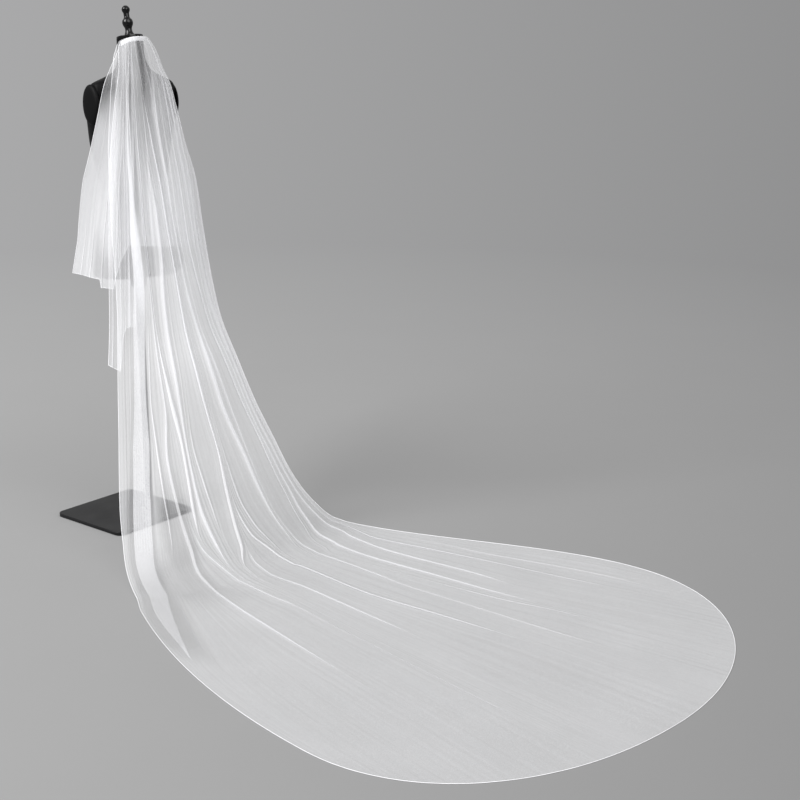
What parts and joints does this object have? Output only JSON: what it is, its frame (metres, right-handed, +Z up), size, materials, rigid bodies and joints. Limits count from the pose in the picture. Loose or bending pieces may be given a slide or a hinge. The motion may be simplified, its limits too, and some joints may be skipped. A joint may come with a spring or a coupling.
{
  "type": "bridal veil on dress form",
  "caption": "Long gathered tulle bridal veil in tiers, hanging from a dress form's neck and out over the floor as an oval train.",
  "frame": {"origin": "on the floor under the pole, on the base plate's underside", "axes": "+Z up, -Y the way the form faces, +Y the way the train runs, +X the form's left"},
  "size_m": [1.485, 2.3933, 1.6936],
  "materials": {
    "plate": "black satin powder coat",
    "pole": "black satin paint",
    "form": "black stretch jersey cover",
    "finial": "black gloss lacquer",
    "satin": "white gathered band",
    "tulle": "soft white tulle with a pencil edge"
  },
  "bodies": {
    "root": {"base_plate": "plate", "pole": "pole", "pole_collar": "pole", "torso": "form", "arm_plate_left": "form", "arm_plate_right": "form", "neck_cap": "finial", "finial": "finial", "heading_band": "satin", "short_tier": "tulle", "side_cascade_left": "tulle", "side_cascade_right": "tulle", "long_tier": "tulle", "long_tier_train": "tulle"}
  },
  "joints": []
}
